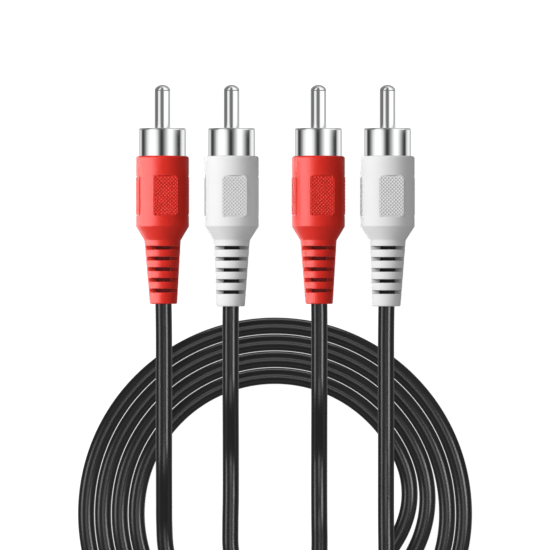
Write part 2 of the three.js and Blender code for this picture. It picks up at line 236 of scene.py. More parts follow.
def skin(points, closed_rows):
    """Quads over a grid of points, rows by columns. Columns always close on themselves. Rows
    close too for a ring, and otherwise a fan round a middle point closes each end. The outside
    is where columns run clockwise, seen from the first row towards the last."""
    rows, columns = points.shape[:2]
    number = np.arange(rows * columns).reshape(rows, columns)
    beside = np.roll(number, -1, axis=1)
    if closed_rows:
        upper, upper_beside = np.roll(number, -1, axis=0), np.roll(beside, -1, axis=0)
        lower, lower_beside = number, beside
    else:
        upper, upper_beside = number[1:], beside[1:]
        lower, lower_beside = number[:-1], beside[:-1]
    quads = np.stack([lower, lower_beside, upper_beside, upper], axis=-1).reshape(-1, 4)
    flat_points = points.reshape(-1, 3)
    if closed_rows:
        return flat_points, quads, np.zeros((0, 3), int)
    first, last = rows * columns, rows * columns + 1
    middles = np.stack([points[0].mean(axis=0), points[-1].mean(axis=0)])
    first_fan = np.stack([np.full(columns, first), beside[0], number[0]], axis=-1)
    last_fan = np.stack([np.full(columns, last), number[-1], beside[-1]], axis=-1)
    return np.concatenate([flat_points, middles]), quads, np.concatenate([first_fan, last_fan])


def piece(name, parts, material):
    """One object out of closed skins, riding on the cable, smooth but for its sharp edges."""
    shift, all_points, all_quads, all_fans = 0, [], [], []
    for points, quads, fans in parts:
        all_points.append(points)
        all_quads.append(quads + shift)
        all_fans.append(fans + shift)
        shift += len(points)
    points = np.concatenate(all_points)
    quads = np.concatenate(all_quads)
    fans = np.concatenate(all_fans)
    corners = np.concatenate([quads.ravel(), fans.ravel()])
    starts = np.concatenate([np.arange(len(quads)) * 4, len(quads) * 4 + np.arange(len(fans)) * 3])
    mesh = bpy.data.meshes.new(name)
    mesh.vertices.add(len(points))
    mesh.vertices.foreach_set("co", points.astype(np.float32).ravel())
    mesh.loops.add(len(corners))
    mesh.loops.foreach_set("vertex_index", corners.astype(np.int32))
    mesh.polygons.add(len(starts))
    mesh.polygons.foreach_set("loop_start", starts.astype(np.int32))
    mesh.update(calc_edges=True)
    mesh.validate()
    mesh.shade_smooth()
    mesh.set_sharp_from_angle(angle=SHARP_ANGLE)
    return dressed(bpy.data.objects.new(name, mesh), material)


def dressed(thing, material):
    """Puts a finished object into the scene with its material, riding on the cable's one body.
    Mirror-like pieces show the room alone, and not each other."""
    thing.visible_glossy = False
    bpy.context.scene.collection.objects.link(thing)
    thing.data.materials.append(material)
    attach(thing, "root")
    return thing


def turned(profile, angles, axis_x):
    """Points of a profile of (radius, place along the axis) pairs, turned about a plug's axis.
    A point lies at x = r sin(angle), z = r cos(angle) from the axis. The radius may be a row of
    numbers, one for each angle."""
    radius, along = profile
    radius = np.broadcast_to(radius, (len(along), len(angles)))
    return np.stack([
        axis_x + radius * np.sin(angles),
        FRONT_FACE + np.broadcast_to(along[:, None], radius.shape),
        AXIS_HEIGHT + radius * np.cos(angles),
    ], axis=-1)


def lathed(profile, columns, axis_x, ring=True):
    """A skin of a profile turned about a plug's axis at even steps: a ring round a hole, or a
    solid of turning with a fan at each end."""
    angles = np.arange(columns) * 2 * math.pi / columns
    return skin(turned((profile[:, :1], profile[:, 1]), angles, axis_x), ring)


def quarter(centre_r, centre_y, size_r, size_y, start, end, steps=5):
    """Profile points of a quarter round, from one angle to another in degrees, where 0 points
    away from the axis and 90 points to the front."""
    angle = np.radians(np.linspace(start, end, steps))
    return np.stack([centre_r + size_r * np.cos(angle), centre_y + size_y * np.sin(angle)], axis=1)


def stretch(start, end, steps):
    """Profile points along a straight line, without its last point. One point lies just before
    that, so that the shading of a rounding behind it doesn't run back along the line."""
    start, end = np.array(start), np.array(end)
    share_along = np.linspace(0, 1, steps + 1)
    share_along[-1] = 1 - 0.02 * MM / np.linalg.norm(end - start)
    return start + (end - start) * share_along[:, None]


def bar(width_range, height_range, along, axis_x, turn, rounding):
    """A bar along a plug's axis. Its section is a rectangle with three points at each round
    corner, whose sides may change along the bar, turned about the axis with the housing."""
    x_low, x_high = np.broadcast_arrays(*width_range, along)[:2]
    z_low, z_high = height_range
    corner_angles = np.radians(np.arange(0, 360, 30) + 15)
    right = np.cos(corner_angles) > 0
    upper = np.sin(corner_angles) > 0
    x = np.where(right, x_high[:, None] - rounding, x_low[:, None] + rounding)
    x = x + rounding * np.cos(corner_angles)
    z = np.where(upper, z_high - rounding, z_low + rounding) + rounding * np.sin(corner_angles)
    z = np.broadcast_to(z, x.shape)
    points = np.stack([
        axis_x + x * math.cos(turn) + z * math.sin(turn),
        FRONT_FACE + np.broadcast_to(along[:, None], x.shape),
        AXIS_HEIGHT - x * math.sin(turn) + z * math.cos(turn),
    ], axis=-1)
    return points[:, ::-1]


def smooth_step(value):
    """0 below 0 and 1 above 1, with a cubic between them."""
    value = np.clip(value, 0, 1)
    return value * value * (3 - 2 * value)


# The housing


def plain(group):
    """A group's sizes by name, as plain values."""
    return {key: getattr(group, key) for key in type(group).__annotations__}


def mould(scene, white):
    """The sizes that a housing is moulded to, and those of its pads. A white one takes each of
    its changes into the group that holds a size of that name."""
    housing, pad = plain(scene.cable_housing), plain(scene.cable_pad)
    if white:
        for key, value in plain(scene.cable_white).items():
            changed = housing if key in housing else pad
            changed[key] = value
    return SimpleNamespace(**housing), SimpleNamespace(**pad)


def relief_radius(sizes, along):
    """The strain relief's radius at a place along the axis, on a straight taper."""
    top = -sizes.body_length - sizes.cone_length
    taper = (sizes.relief_top_radius - sizes.relief_end_radius) / sizes.relief_length
    return sizes.relief_top_radius + (along - top) * taper


def pad_surface(base, angles, along, housing, pad):
    """The housing's radius with its four pads. A quarter turn is folded onto one pad, where u is
    the place across the flat, flat height times tan(angle), and v the place along it. Inside a
    rounded rectangle, narrower at the sides, the radius is that of the flat, flat height over
    cos(angle), and on it stand rounded points: the product of two raised cosines along the
    diagonals u + v and u - v, of which the second may be the shallower one."""
    quarter_turn = math.pi / 2
    folded = (angles - housing.turn + quarter_turn / 2) % quarter_turn - quarter_turn / 2
    sideways = np.abs(np.sin(angles - housing.turn)) > math.sqrt(0.5)
    half_width = np.where(sideways, pad.side_width, pad.width)[None, :] / 2
    u = pad.flat_height * np.tan(folded)[None, :]
    v = along[:, None] + pad.setback + pad.length / 2
    outside_u = np.abs(u) - half_width + pad.corner
    outside_v = np.abs(v) - pad.length / 2 + pad.corner
    beyond = np.hypot(np.maximum(outside_u, 0), np.maximum(outside_v, 0))
    distance = beyond + np.minimum(np.maximum(outside_u, outside_v), 0) - pad.corner
    inside = smooth_step(0.5 - distance / pad.edge)
    across, lengthwise = u / pad.knurl_across, v / pad.knurl_along
    one_way, other_way = across + lengthwise, across - lengthwise
    ridges = 0.5 + 0.5 * np.cos(2 * np.pi * one_way)
    cross_ridges = 1 - pad.cross_depth * (0.5 - 0.5 * np.cos(2 * np.pi * other_way))
    border = smooth_step(-distance / pad.edge - 0.5)
    knurl = pad.knurl_height * ridges * cross_ridges * border
    flat = pad.flat_height / np.cos(folded)[None, :] + knurl
    return base[:, None] + (flat - base[:, None]) * inside


def housing_columns(housing, pad):
    """Angles round the housing: close together over the pads, so that the knurl is sharp, and
    further apart between them."""
    spacing, margin, columns_between = 0.07 * MM, 0.1 * MM, 14
    count = int(round((pad.width / 2 + margin) / spacing))
    over_pad = np.arctan(np.arange(-count, count + 1) * spacing / pad.flat_height)
    between = np.linspace(over_pad[-1], math.pi / 2 + over_pad[0], columns_between + 2)[1:-1]
    one_quarter = np.concatenate([over_pad, between])
    return housing.turn + np.concatenate([one_quarter + k * math.pi / 2 for k in range(4)])


def front_shell_of_housing(housing, pad, axis_x):
    """Body, cone and the first ring of the strain relief, as one ring-shaped skin: back to front
    along the outside, and front to back through the socket, the cavity and the lead's bore."""
    body, relief_top = -housing.body_length, -housing.body_length - housing.cone_length
    first_slot = relief_top - housing.slot_drop + housing.slot_height / 2
    edge, front = housing.edge_rounding, housing.front_rounding
    slot_radius = relief_radius(housing, first_slot)
    margin, spacing = 0.15 * MM, 0.075 * MM
    pad_back, pad_front = -pad.setback - pad.length - margin, -pad.setback + margin
    pad_rows = int(round((pad_front - pad_back) / spacing))
    outside = np.concatenate([
        quarter(slot_radius - edge, first_slot + edge, edge, edge, -90, 0),
        stretch((slot_radius, first_slot + 2 * edge), (housing.relief_top_radius, relief_top), 4),
        stretch((housing.relief_top_radius, relief_top), (housing.body_radius, body), 10),
        stretch((housing.body_radius, body), (housing.body_radius, pad_back), 6),
        stretch((housing.body_radius, pad_back), (housing.body_radius, pad_front), pad_rows),
        stretch((housing.body_radius, pad_front), (housing.body_radius, -front), 8),
        quarter(housing.body_radius - front, -front, front, front, 0, 90, 8),
    ])
    inside = np.array([
        [housing.socket_radius + edge, 0],
        [housing.socket_radius + edge * 0.3, -edge * 0.3],
        [housing.socket_radius, -edge],
        [housing.socket_radius, -housing.socket_depth],
        [housing.cavity_radius, -housing.socket_depth],
        [housing.cavity_radius, -housing.cavity_depth],
        [housing.lead_bore, -housing.cavity_depth],
        [housing.lead_bore, first_slot],
    ])
    angles = housing_columns(housing, pad)
    outer_radius = pad_surface(outside[:, 0], angles, outside[:, 1], housing, pad)
    inner_radius = np.broadcast_to(inside[:, :1], (len(inside), len(angles)))
    radius = np.concatenate([outer_radius, inner_radius])
    along = np.concatenate([outside[:, 1], inside[:, 1]])
    return skin(turned((radius, along), angles, axis_x), True)


def lean(part, housing, sideways):
    """A skin whose strain relief leans sideways, by so much at the lead's exit."""
    points, quads, fans = part
    top = FRONT_FACE - housing.body_length - housing.cone_length
    points = points.copy()
    points[:, 0] += sideways * np.clip((top - points[:, 1]) / housing.relief_length, 0, 1)
    return points, quads, fans


def relief_ring(housing, front, back, end_rounding, axis_x):
    """One ring of the strain relief between two slots, with rounded edges."""
    edge = housing.edge_rounding
    back_radius, front_radius = relief_radius(housing, back), relief_radius(housing, front)
    profile = np.concatenate([
        [[housing.lead_bore, back]],
        quarter(back_radius - end_rounding, back + end_rounding, end_rounding, end_rounding,
                -90, 0),
        quarter(front_radius - edge, front - edge, edge, edge, 0, 90),
        [[housing.lead_bore, front]],
    ])
    return lathed(profile, 96, axis_x)


def strain_relief(housing, axis_x):
    """The rings behind the first slot, and the two ribs at the sides that join them."""
    slots, overlap, rib_rounding = 5, 0.3 * MM, 0.1 * MM
    relief_top = -housing.body_length - housing.cone_length
    relief_end = relief_top - housing.relief_length
    middles = relief_top - housing.slot_drop - np.arange(slots) * housing.slot_pitch
    fronts = middles - housing.slot_height / 2
    backs = np.append(middles[1:] + housing.slot_height / 2, relief_end)
    end_roundings = [housing.edge_rounding] * (slots - 1) + [2 * housing.edge_rounding]
    parts = [relief_ring(housing, front, back, rounding, axis_x)
             for front, back, rounding in zip(fronts, backs, end_roundings)]
    along = np.linspace(middles[-1] - overlap - housing.slot_height / 2,
                        middles[0] + overlap + housing.slot_height / 2, 12)
    reach = relief_radius(housing, along) - housing.web_inset
    half = housing.web_thickness / 2
    for sides in ((housing.web_root, reach), (-reach, -housing.web_root)):
        rib = bar(sides, (-half, half), along, axis_x, housing.turn, rib_rounding)
        parts.append(skin(rib, False))
    return parts


# The metal shell, the pin and the insulator


def shell_parts(contact, axis_x):
    """The drawn cup round the pin, with a holed base, and the solder tab behind it."""
    rim, seat = contact.shell_reach, -contact.shell_seat
    rounding, tab_rounding = contact.rim_rounding, 0.12 * MM
    base = 2 * rounding
    profile = np.concatenate([
        [[contact.base_hole, seat]],
        quarter(contact.shell_radius - base, seat + base, base, base, -90, 0),
        stretch((contact.shell_radius, seat + 2 * base), (contact.shell_radius, rim - base), 12),
        quarter(contact.shell_radius - rounding, rim - rounding, rounding, rounding, 0, 90, 6),
        quarter(contact.shell_bore + rounding, rim - rounding, rounding, rounding, 90, 180, 6),
        stretch((contact.shell_bore, rim - base), (contact.shell_bore, seat + 2 * base), 12),
        [[contact.shell_bore, seat + contact.base_thickness]],
        [[contact.base_hole, seat + contact.base_thickness]],
    ])
    cup = lathed(profile, 128, axis_x)
    along = np.linspace(seat - contact.tab_length, seat + contact.base_thickness / 2, 12)
    half = contact.tab_width / 2
    heights = (contact.tab_height, contact.tab_height + contact.tab_thickness)
    tab = skin(bar((-half, half), heights, along, axis_x, 0.0, tab_rounding), False)
    return [cup, tab]


def pin_parts(contact, axis_x):
    """The centre pin: solder cup, shank, and the domed contact, an ellipse at its tip."""
    tip = contact.shell_reach + contact.pin_reach
    dome = tip - contact.tip_length
    shoulder = contact.insulator_reach
    bottom = -contact.tail_depth + contact.cup_depth
    chamfer = 0.1 * MM
    profile = np.concatenate([
        [[contact.cup_radius, bottom]],
        [[contact.cup_radius, -contact.tail_depth]],
        [[contact.shank_radius - chamfer, -contact.tail_depth]],
        [[contact.shank_radius, -contact.tail_depth + chamfer]],
        [[contact.shank_radius, shoulder]],
        [[contact.pin_radius - chamfer, shoulder]],
        [[contact.pin_radius, shoulder + chamfer]],
        stretch((contact.pin_radius, shoulder + 2 * chamfer), (contact.pin_radius, dome), 16),
        quarter(0, dome, contact.pin_radius, contact.tip_length, 0, 88, 18),
    ])
    return [lathed(profile, 96, axis_x, ring=False)]


def insulator_parts(contact, axis_x):
    """The nylon disc that fills the bottom of the shell, with a boss through its base."""
    gap, rounding = contact.gap, 0.15 * MM
    front = contact.insulator_reach
    base = -contact.shell_seat + contact.base_thickness
    boss_back = -contact.shell_seat - contact.boss_length
    disc = contact.shell_bore - gap
    profile = np.concatenate([
        [[contact.shank_radius + gap, boss_back]],
        [[contact.base_hole - gap, boss_back]],
        [[contact.base_hole - gap, base]],
        [[disc, base]],
        quarter(disc - rounding, front - rounding, rounding, rounding, 0, 90),
        [[contact.shank_radius + gap, front]],
    ])
    return [lathed(profile, 96, axis_x)]


# The leads: where each leaves its plug across the cable, and points along it, in millimetres


EXITS = {"red_a": -23.0, "white_a": -9.15, "red_b": 9.1, "white_b": 22.95}
RED_RUN_IN = [
    (-22.95, -24, 5.43), (-22.9, -30, 5.36), (-22.9, -37, 5.27), (-22.9, -45, 5.27),
    (-22.9, -52, 5.27), (-22.9, -57, 4.95), (-22.9, -62, 3.75), (-22.9, -67, 2.3),
    (-22.7, -72, 1.8), (-21.7, -77.5, 1.7), (-17.6, -83.6, 1.7), (-10.5, -88.5, 1.7),
    (-2.2, -90.8, 1.7), (7.2, -89.8, 1.7),
]
RED_RUN_OUT = [
    (-29.5, -91.4, 2.4), (-26.5, -94.0, 3.55), (-23.0, -95.9, 4.5), (-19.3, -97.2, 5.1),
    (-15.5, -97.9, 5.27),
    (-13.4, -97.95, 5.27), (-9.5, -97.6, 5.27), (-5.7, -96.6, 5.27), (-2.1, -94.9, 5.27),
    (1.1, -92.7, 5.27), (3.9, -89.9, 5.27), (6.1, -86.7, 5.27), (7.8, -83.1, 5.22),
    (8.8, -79.3, 4.8), (9.15, -74, 3.7), (9.15, -69, 2.4), (9.15, -64, 1.75), (9.15, -58, 1.7),
    (9.15, -53, 2.0), (9.15, -49, 3.0), (9.15, -45, 4.4), (9.15, -41.5, 5.2), (9.15, -36, 5.27),
    (9.15, -30, 5.27), (9.15, -24, 5.4),
]
WHITE_RUN_IN = [
    (-9.15, -24, 5.4), (-9.15, -30, 5.27), (-9.15, -36, 5.27), (-9.15, -41.5, 5.2),
    (-9.15, -45, 4.4), (-9.15, -49, 3.0), (-9.15, -53, 2.0), (-9.15, -58, 1.7),
    (-9.15, -66, 1.7), (-9.15, -73.3, 1.7), (-8.34, -77.9, 1.7), (-6.0, -81.9, 1.7),
    (-2.5, -84.9, 1.7), (1.9, -86.35, 1.7), (6.5, -86.25, 1.7), (11.0, -84.75, 1.7),
    (15.0, -82.4, 1.7),
]
WHITE_RUN_OUT = [
    (-4.9, -101.1, 1.75), (-0.7, -101.3, 2.35), (3.5, -100.8, 3.5), (7.6, -99.5, 4.65),
    (11.4, -97.6, 5.27), (14.8, -95.0, 5.27), (17.7, -91.9, 5.27), (20.0, -88.4, 5.27),
    (21.7, -84.4, 5.27), (22.6, -80.3, 5.27), (22.9, -77, 5.22), (22.9, -71, 4.92),
    (22.9, -66, 4.78), (22.9, -60, 4.98), (22.9, -53, 5.27), (22.9, -45, 5.27),
    (22.9, -37, 5.27), (22.9, -30, 5.36), (22.95, -24, 5.43),
]
# Where each lead ends its last turn, in degrees, and climbs over the others
RED_LAST_ANGLE, WHITE_LAST_ANGLE = 935, 980


def plug_x(plug):
    """Where a plug's axis stands across the cable, from its pin."""
    low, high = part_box(f"{plug}_centre_pin")
    return (low.x + high.x) / 2


def inside_plug(plug, lead, first_point):
    """The two points of a lead inside its plug: the jacket's end, and halfway to its exit."""
    x, start = plug_x(plug), FRONT_FACE - lead.jacket_depth
    return [(x, start, AXIS_HEIGHT), (x, (start + first_point[1] * MM) / 2, AXIS_HEIGHT)]


def cosine_rise(values, start, end):
    """0 before a range and 1 after it, with half a cosine between."""
    return (1 - np.cos(np.pi * np.clip((values - start) / (end - start), 0, 1))) / 2


def turns(entry, last_lane, last_angle, lead):
    """Two turns of the coil, counterclockwise from the point where a lead joins it. The lead
    settles in a lane, and late in the second turn it moves outwards by two lanes. Both go by
    half a cosine over a range of angles in degrees."""
    settled, leaving, arrived, spacing = 380, 628, 712, 12
    offset = (np.array(entry[:2]) * MM - COIL_CENTRE) / (lead.coil_stretch, 1)
    entry_radius = math.hypot(*offset)
    entry_angle = math.degrees(math.atan2(offset[1], offset[0])) % 360
    middle_lane = last_lane - 2 * lead.lane_pitch
    angles = np.concatenate([
        np.linspace(entry_angle, settled, 9)[1:],
        np.linspace(settled, leaving, 22)[1:],
        np.linspace(leaving, arrived, 9)[1:],
        np.linspace(arrived, last_angle, int((last_angle - arrived) / spacing) + 1)[1:],
    ])
    joining = cosine_rise(angles, entry_angle, settled)
    moving = cosine_rise(angles, leaving, arrived)
    radius = entry_radius + (middle_lane - entry_radius) * joining
    radius = radius + (last_lane - middle_lane) * moving
    turn = np.radians(angles)
    points = np.stack([
        COIL_CENTRE[0] + radius * np.cos(turn) * lead.coil_stretch,
        COIL_CENTRE[1] + radius * np.sin(turn),
        np.full(len(turn), lead.coil_height),
    ], axis=1)
    return [tuple(point) for point in points]


def in_metres(points):
    """A list of points in millimetres as metres."""
    return [tuple(value * MM for value in point) for point in points]


def route(plugs, run_in, last_lane, last_angle, run_out, lead):
    """A lead's points from the inside of its first plug, through the coil, to its second."""
    return (inside_plug(plugs[0], lead, run_in[0]) + in_metres(run_in)
            + turns(run_in[-1], last_lane, last_angle, lead)
            + in_metres(run_out) + inside_plug(plugs[1], lead, run_out[-1])[::-1])


def evenly(line, spacing):
    """A line's points again, at even spacing along it."""
    steps = np.linalg.norm(np.diff(line, axis=0), axis=1)
    along = np.concatenate([[0], np.cumsum(steps)])
    places = np.linspace(0, along[-1], int(round(along[-1] / spacing)) + 1)
    return np.stack([np.interp(places, along, line[:, axis]) for axis in range(3)], axis=1)


def softened(values, width):
    """A weighted mean of each value's neighbours, by a bell curve that is so many places wide.
    Both ends are turned over about themselves, so that they stay where they are."""
    reach = 3 * width
    before = 2 * values[0] - values[reach:0:-1]
    after = 2 * values[-1] - values[-2:-reach - 2:-1]
    longer = np.concatenate([before, values, after])
    weights = np.exp(-0.5 * (np.arange(-reach, reach + 1) / width) ** 2)
    weights = weights / weights.sum()
    return np.stack([np.convolve(longer[:, axis], weights, "valid") for axis in range(3)], axis=1)


def handles(points):
    """The handles before and after each point: they lie along the line between its neighbours,
    each a third as long as the stretch on its side."""
    before = np.concatenate([points[:1], points[:-1]])
    after = np.concatenate([points[1:], points[-1:]])
    direction = after - before
    direction = direction / np.linalg.norm(direction, axis=1)[:, None]
    back = np.linalg.norm(points - before, axis=1)[:, None] / 3
    front = np.linalg.norm(after - points, axis=1)[:, None] / 3
    return points - direction * back, points + direction * front


def eased(points, lead):
    """A lead's route without kinks: the curve through its points, taken every half millimetre,
    is softened, what that took away is softened and added again, so that wide bends keep their
    size, and the result is taken every 5 mm, nowhere lower than on the surface."""
    per_stretch, fine_spacing, width, spacing = 16, 0.5 * MM, 8, 5 * MM
    points = np.array(points)
    back_handles, front_handles = handles(points)
    t = np.linspace(0, 1, per_stretch + 1)[:-1, None, None]
    curve = ((1 - t) ** 3 * points[:-1] + 3 * (1 - t) ** 2 * t * front_handles[:-1]
             + 3 * (1 - t) * t ** 2 * back_handles[1:] + t ** 3 * points[1:])
    curve = np.concatenate([curve.transpose(1, 0, 2).reshape(-1, 3), points[-1:]])
    fine = evenly(curve, fine_spacing)
    soft = softened(fine, width)
    points = evenly(soft + softened(fine - soft, width), spacing)
    points[:, 2] = np.maximum(points[:, 2], lead.diameter / 2)
    return points


def lead_curve(name, points, lead, material):
    """One lead as a round tube along a smooth curve, and its length."""
    points = eased(points, lead)
    back_handles, front_handles = handles(points)
    curve = bpy.data.curves.new(name, "CURVE")
    curve.dimensions = "3D"
    curve.resolution_u = 8
    curve.bevel_depth = lead.diameter / 2
    curve.bevel_resolution = 8
    curve.use_fill_caps = True
    spline = curve.splines.new("BEZIER")
    spline.bezier_points.add(len(points) - 1)
    spline.bezier_points.foreach_set("co", points.ravel())
    spline.bezier_points.foreach_set("handle_left", back_handles.ravel())
    spline.bezier_points.foreach_set("handle_right", front_handles.ravel())
    tube = dressed(bpy.data.objects.new(name, curve), material)
    lit_group("leads").objects.link(tube)
    steps = np.linalg.norm(np.diff(points, axis=0), axis=1)
    return tube, float(steps.sum())


# Shader groups and materials


def link(tree, start, end):
    """Joins two sockets of a node tree."""
    tree.links.new(start, end)


def maths(tree, operation, first, second=None, third=None):
    """A Math node. Each input is a socket or a number, and the output socket comes back."""
    node = tree.nodes.new("ShaderNodeMath")
    node.operation = operation
    for place, value in enumerate((first, second, third)):
        if value is None:
            continue
        if isinstance(value, (int, float)):
            node.inputs[place].default_value = value
        else:
            link(tree, value, node.inputs[place])
    return node.outputs[0]


def step(tree, value, low, high):
    """0 below a range and 1 above it, with a smooth rise between."""
    node = tree.nodes.new("ShaderNodeMapRange")
    node.interpolation_type = "SMOOTHSTEP"
    link(tree, value, node.inputs["Value"])
    node.inputs["From Min"].default_value = low
    node.inputs["From Max"].default_value = high
    return node.outputs["Result"]


def blend(tree, first, second, factor):
    """The first value at factor 0 and the second at 1."""
    return maths(tree, "MULTIPLY_ADD", maths(tree, "SUBTRACT", second, first), factor, first)


def mixed(tree, factor, first, second):
    """The first colour at factor 0 and the second at 1. Each is a socket or three numbers."""
    node = tree.nodes.new("ShaderNodeMix")
    node.data_type = "RGBA"
    link(tree, factor, node.inputs["Factor"])
    for label, value in (("A", first), ("B", second)):
        if isinstance(value, bpy.types.NodeSocket):
            link(tree, value, node.inputs[label])
        else:
            node.inputs[label].default_value = [*value, 1]
    return node.outputs["Result"]


def noise(tree, vector, scale, detail):
    """A Noise Texture node's value."""
    node = tree.nodes.new("ShaderNodeTexNoise")
    link(tree, vector, node.inputs["Vector"])
    link(tree, scale, node.inputs["Scale"])
    node.inputs["Detail"].default_value = detail
    return node.outputs["Fac"]


def new_group(name, inputs, outputs):
    """An empty shader node group with named value inputs, and its input and output nodes."""
    tree = bpy.data.node_groups.new(name, "ShaderNodeTree")
    tree.interface.new_socket("Vector", in_out="INPUT", socket_type="NodeSocketVector")
    for label, default in inputs.items():
        socket = tree.interface.new_socket(label, in_out="INPUT", socket_type="NodeSocketFloat")
        socket.default_value = default
    for label in outputs:
        tree.interface.new_socket(label, in_out="OUTPUT", socket_type="NodeSocketFloat")
    return tree, tree.nodes.new("NodeGroupInput"), tree.nodes.new("NodeGroupOutput")


def grain_group():
    """The fine grain of a moulded or drawn surface: small bumps on a softer waviness."""
    tree, given, result = new_group(
        "surface grain", {"Grain scale": 9000.0, "Wave scale": 700.0, "Wave share": 0.4},
        ["Height"])
    grain = noise(tree, given.outputs["Vector"], given.outputs["Grain scale"], 2.0)
    wave = noise(tree, given.outputs["Vector"], given.outputs["Wave scale"], 1.0)
    height = maths(tree, "MULTIPLY_ADD", wave, given.outputs["Wave share"], grain)
    link(tree, height, result.inputs["Height"])
    return tree


def haze_group():
    """Uneven gloss from mould release and handling: broad patches broken up by finer ones."""
    tree, given, result = new_group(
        "handling haze", {"Patch scale": 260.0, "Middle": 0.5, "Spread": 0.1},
        ["Roughness", "Patch"])
    broad = noise(tree, given.outputs["Vector"], given.outputs["Patch scale"], 4.0)
    centred = maths(tree, "SUBTRACT", broad, 0.5)
    spread = maths(tree, "MULTIPLY", given.outputs["Spread"], 2.0)
    uneven = maths(tree, "MULTIPLY_ADD", centred, spread, given.outputs["Middle"])
    link(tree, uneven, result.inputs["Roughness"])
    link(tree, broad, result.inputs["Patch"])
    return tree


def shared_group(name, maker):
    """A shader group by name, built the first time that it is asked for."""
    return bpy.data.node_groups.get(name) or maker()


def finish(name, base, roughness, roughness_spread=0.06, metallic=0.0, shade_change=0.06,
           specular=0.5, grain_scale=9000.0, grain_height=4e-6, wave_share=0.4, bounced=None,
           gripped=None):
    """A material: an even colour that drifts a little, uneven gloss and a fine grain. With a
    bounced level, the light that it casts on its neighbours is grey and not coloured. A jacket
    that a hot moulding has gripped turns matt over a range along Y, and there its colour is
    painted light: the painted shade of the slots, and in a red moulding painted red light
    bounced off the walls."""
    material = bpy.data.materials.new(name)
    material.use_nodes = True
    tree = material.node_tree
    shader = tree.nodes["Principled BSDF"]
    shader.inputs["Metallic"].default_value = metallic
    shader.inputs["Specular IOR Level"].default_value = specular
    place = tree.nodes.new("ShaderNodeTexCoord").outputs["Object"]

    haze = tree.nodes.new("ShaderNodeGroup")
    haze.node_tree = shared_group("handling haze", haze_group)
    link(tree, place, haze.inputs["Vector"])
    haze.inputs["Middle"].default_value = roughness
    haze.inputs["Spread"].default_value = roughness_spread
    uneven = haze.outputs["Roughness"]
    darker = [value * (1 - shade_change) for value in base]
    lighter = [min(1, value * (1 + shade_change)) for value in base]
    shade = mixed(tree, haze.outputs["Patch"], darker, lighter)
    if gripped is not None:
        low, high, matt, painted_tint = gripped
        apart = tree.nodes.new("ShaderNodeSeparateXYZ")
        link(tree, place, apart.inputs[0])
        inside = step(tree, apart.outputs["Y"], low, high)
        uneven = blend(tree, uneven, matt, inside)
        # Painted light: inside the moulding the jacket's colour becomes the slots' painted shade,
        # or painted red light bounced from a red moulding
        shade = mixed(tree, inside, shade, painted_tint)
    if bounced is not None:
        path = tree.nodes.new("ShaderNodeLightPath")
        shade = mixed(tree, path.outputs["Is Diffuse Ray"], shade, [bounced] * 3)
    link(tree, uneven, shader.inputs["Roughness"])
    link(tree, shade, shader.inputs["Base Color"])

    grain = tree.nodes.new("ShaderNodeGroup")
    grain.node_tree = shared_group("surface grain", grain_group)
    link(tree, place, grain.inputs["Vector"])
    grain.inputs["Grain scale"].default_value = grain_scale
    grain.inputs["Wave share"].default_value = wave_share
    bump = tree.nodes.new("ShaderNodeBump")
    bump.inputs["Strength"].default_value = 1.0
    bump.inputs["Distance"].default_value = grain_height
    link(tree, grain.outputs["Height"], bump.inputs["Height"])
    link(tree, bump.outputs["Normal"], shader.inputs["Normal"])
    return material


def material_for(slot, gripped_by=""):
    """The finish of one of the record's material slots, made the first time it is asked for. A
    jacket's finish also depends on the colour of the mouldings that grip its ends: inside them
    its colour is painted light, red light bounced off a red moulding or the shade in a white
    one's slots."""
    name = slot + "_finish" + gripped_by
    found = bpy.data.materials.get(name)
    if found:
        return found
    look, lead = bpy.context.scene.cable_finishes, bpy.context.scene.cable_lead
    grip = HOUSING_LOW.y + lead.grip_depth
    # Painted light for the jacket inside a moulding: bounced red light in a red one, shade in a
    # white one
    painted_tint = look.red_painted_bounce if gripped_by == "_red" else look.white_painted_shade
    looks = {
        "red_pvc": dict(base=look.red_pvc, roughness=look.pvc_roughness, specular=0.08,
                        grain_scale=3500.0, grain_height=1.2e-5, bounced=0.5),
        "white_pvc": dict(base=look.white_pvc, roughness=look.pvc_roughness, specular=0.04,
                          shade_change=0.03, grain_scale=3500.0, grain_height=6e-6,
                          bounced=0.2),
        "nickel_plate": dict(base=look.nickel, roughness=look.nickel_roughness, metallic=1.0,
                             roughness_spread=0.004, shade_change=0.02, grain_scale=14000.0,
                             grain_height=2e-8),
        "nylon": dict(base=look.nylon, roughness=0.42),
        "polyethylene": dict(base=look.polyethylene, roughness=0.5),
        "copper": dict(base=look.copper, roughness=0.3, metallic=1.0, shade_change=0.12),
        "tinned_copper": dict(base=look.tinned_copper, roughness=0.38, metallic=1.0,
                              shade_change=0.12, grain_height=1.2e-5),
        "black_pvc": dict(base=look.black_pvc, roughness=look.lead_roughness,
                          roughness_spread=0.05, specular=0.08, grain_scale=5000.0,
                          grain_height=5e-7, wave_share=1.5,
                          gripped=(grip - lead.grip_edge, grip, look.matt_roughness, painted_tint)),
    }
    return finish(name, **looks[slot])


# The stage


LAMPS_FACE = (0, -0.03, 0)
# For each gloss lamp the mouldings that it is kept for, its angle from overhead to the right in
# degrees, its width, and its share of the gloss lamps' radiance
GLOSS_LAMPS = [
    ("red_pvc", -37, 0.26, 0.45), ("red_pvc", -66, 0.44, 0.85), ("red_pvc", -103, 0.37, 0.55),
    ("red_pvc", -140, 0.44, 0.12), ("white_pvc", -160, 0.36, 0.14),
]
# For each of the leads' lamps its two angles in degrees, its two sizes, and its radiance's name
STREAK_LAMPS = {
    "left_streak": ((-65, 0), (0.18, 0.22), "left_radiance"),
    "right_streak": ((42, 0), (0.17, 0.16), "right_radiance"),
    "fore_streak": ((0, 12.5), (0.26, 0.12), "top_radiance"),
    "aft_streak": ((0, -12.5), (0.26, 0.12), "top_radiance"),
    "edge_streak": ((0, 109), (0.4, 0.12), "edge_radiance"),
}


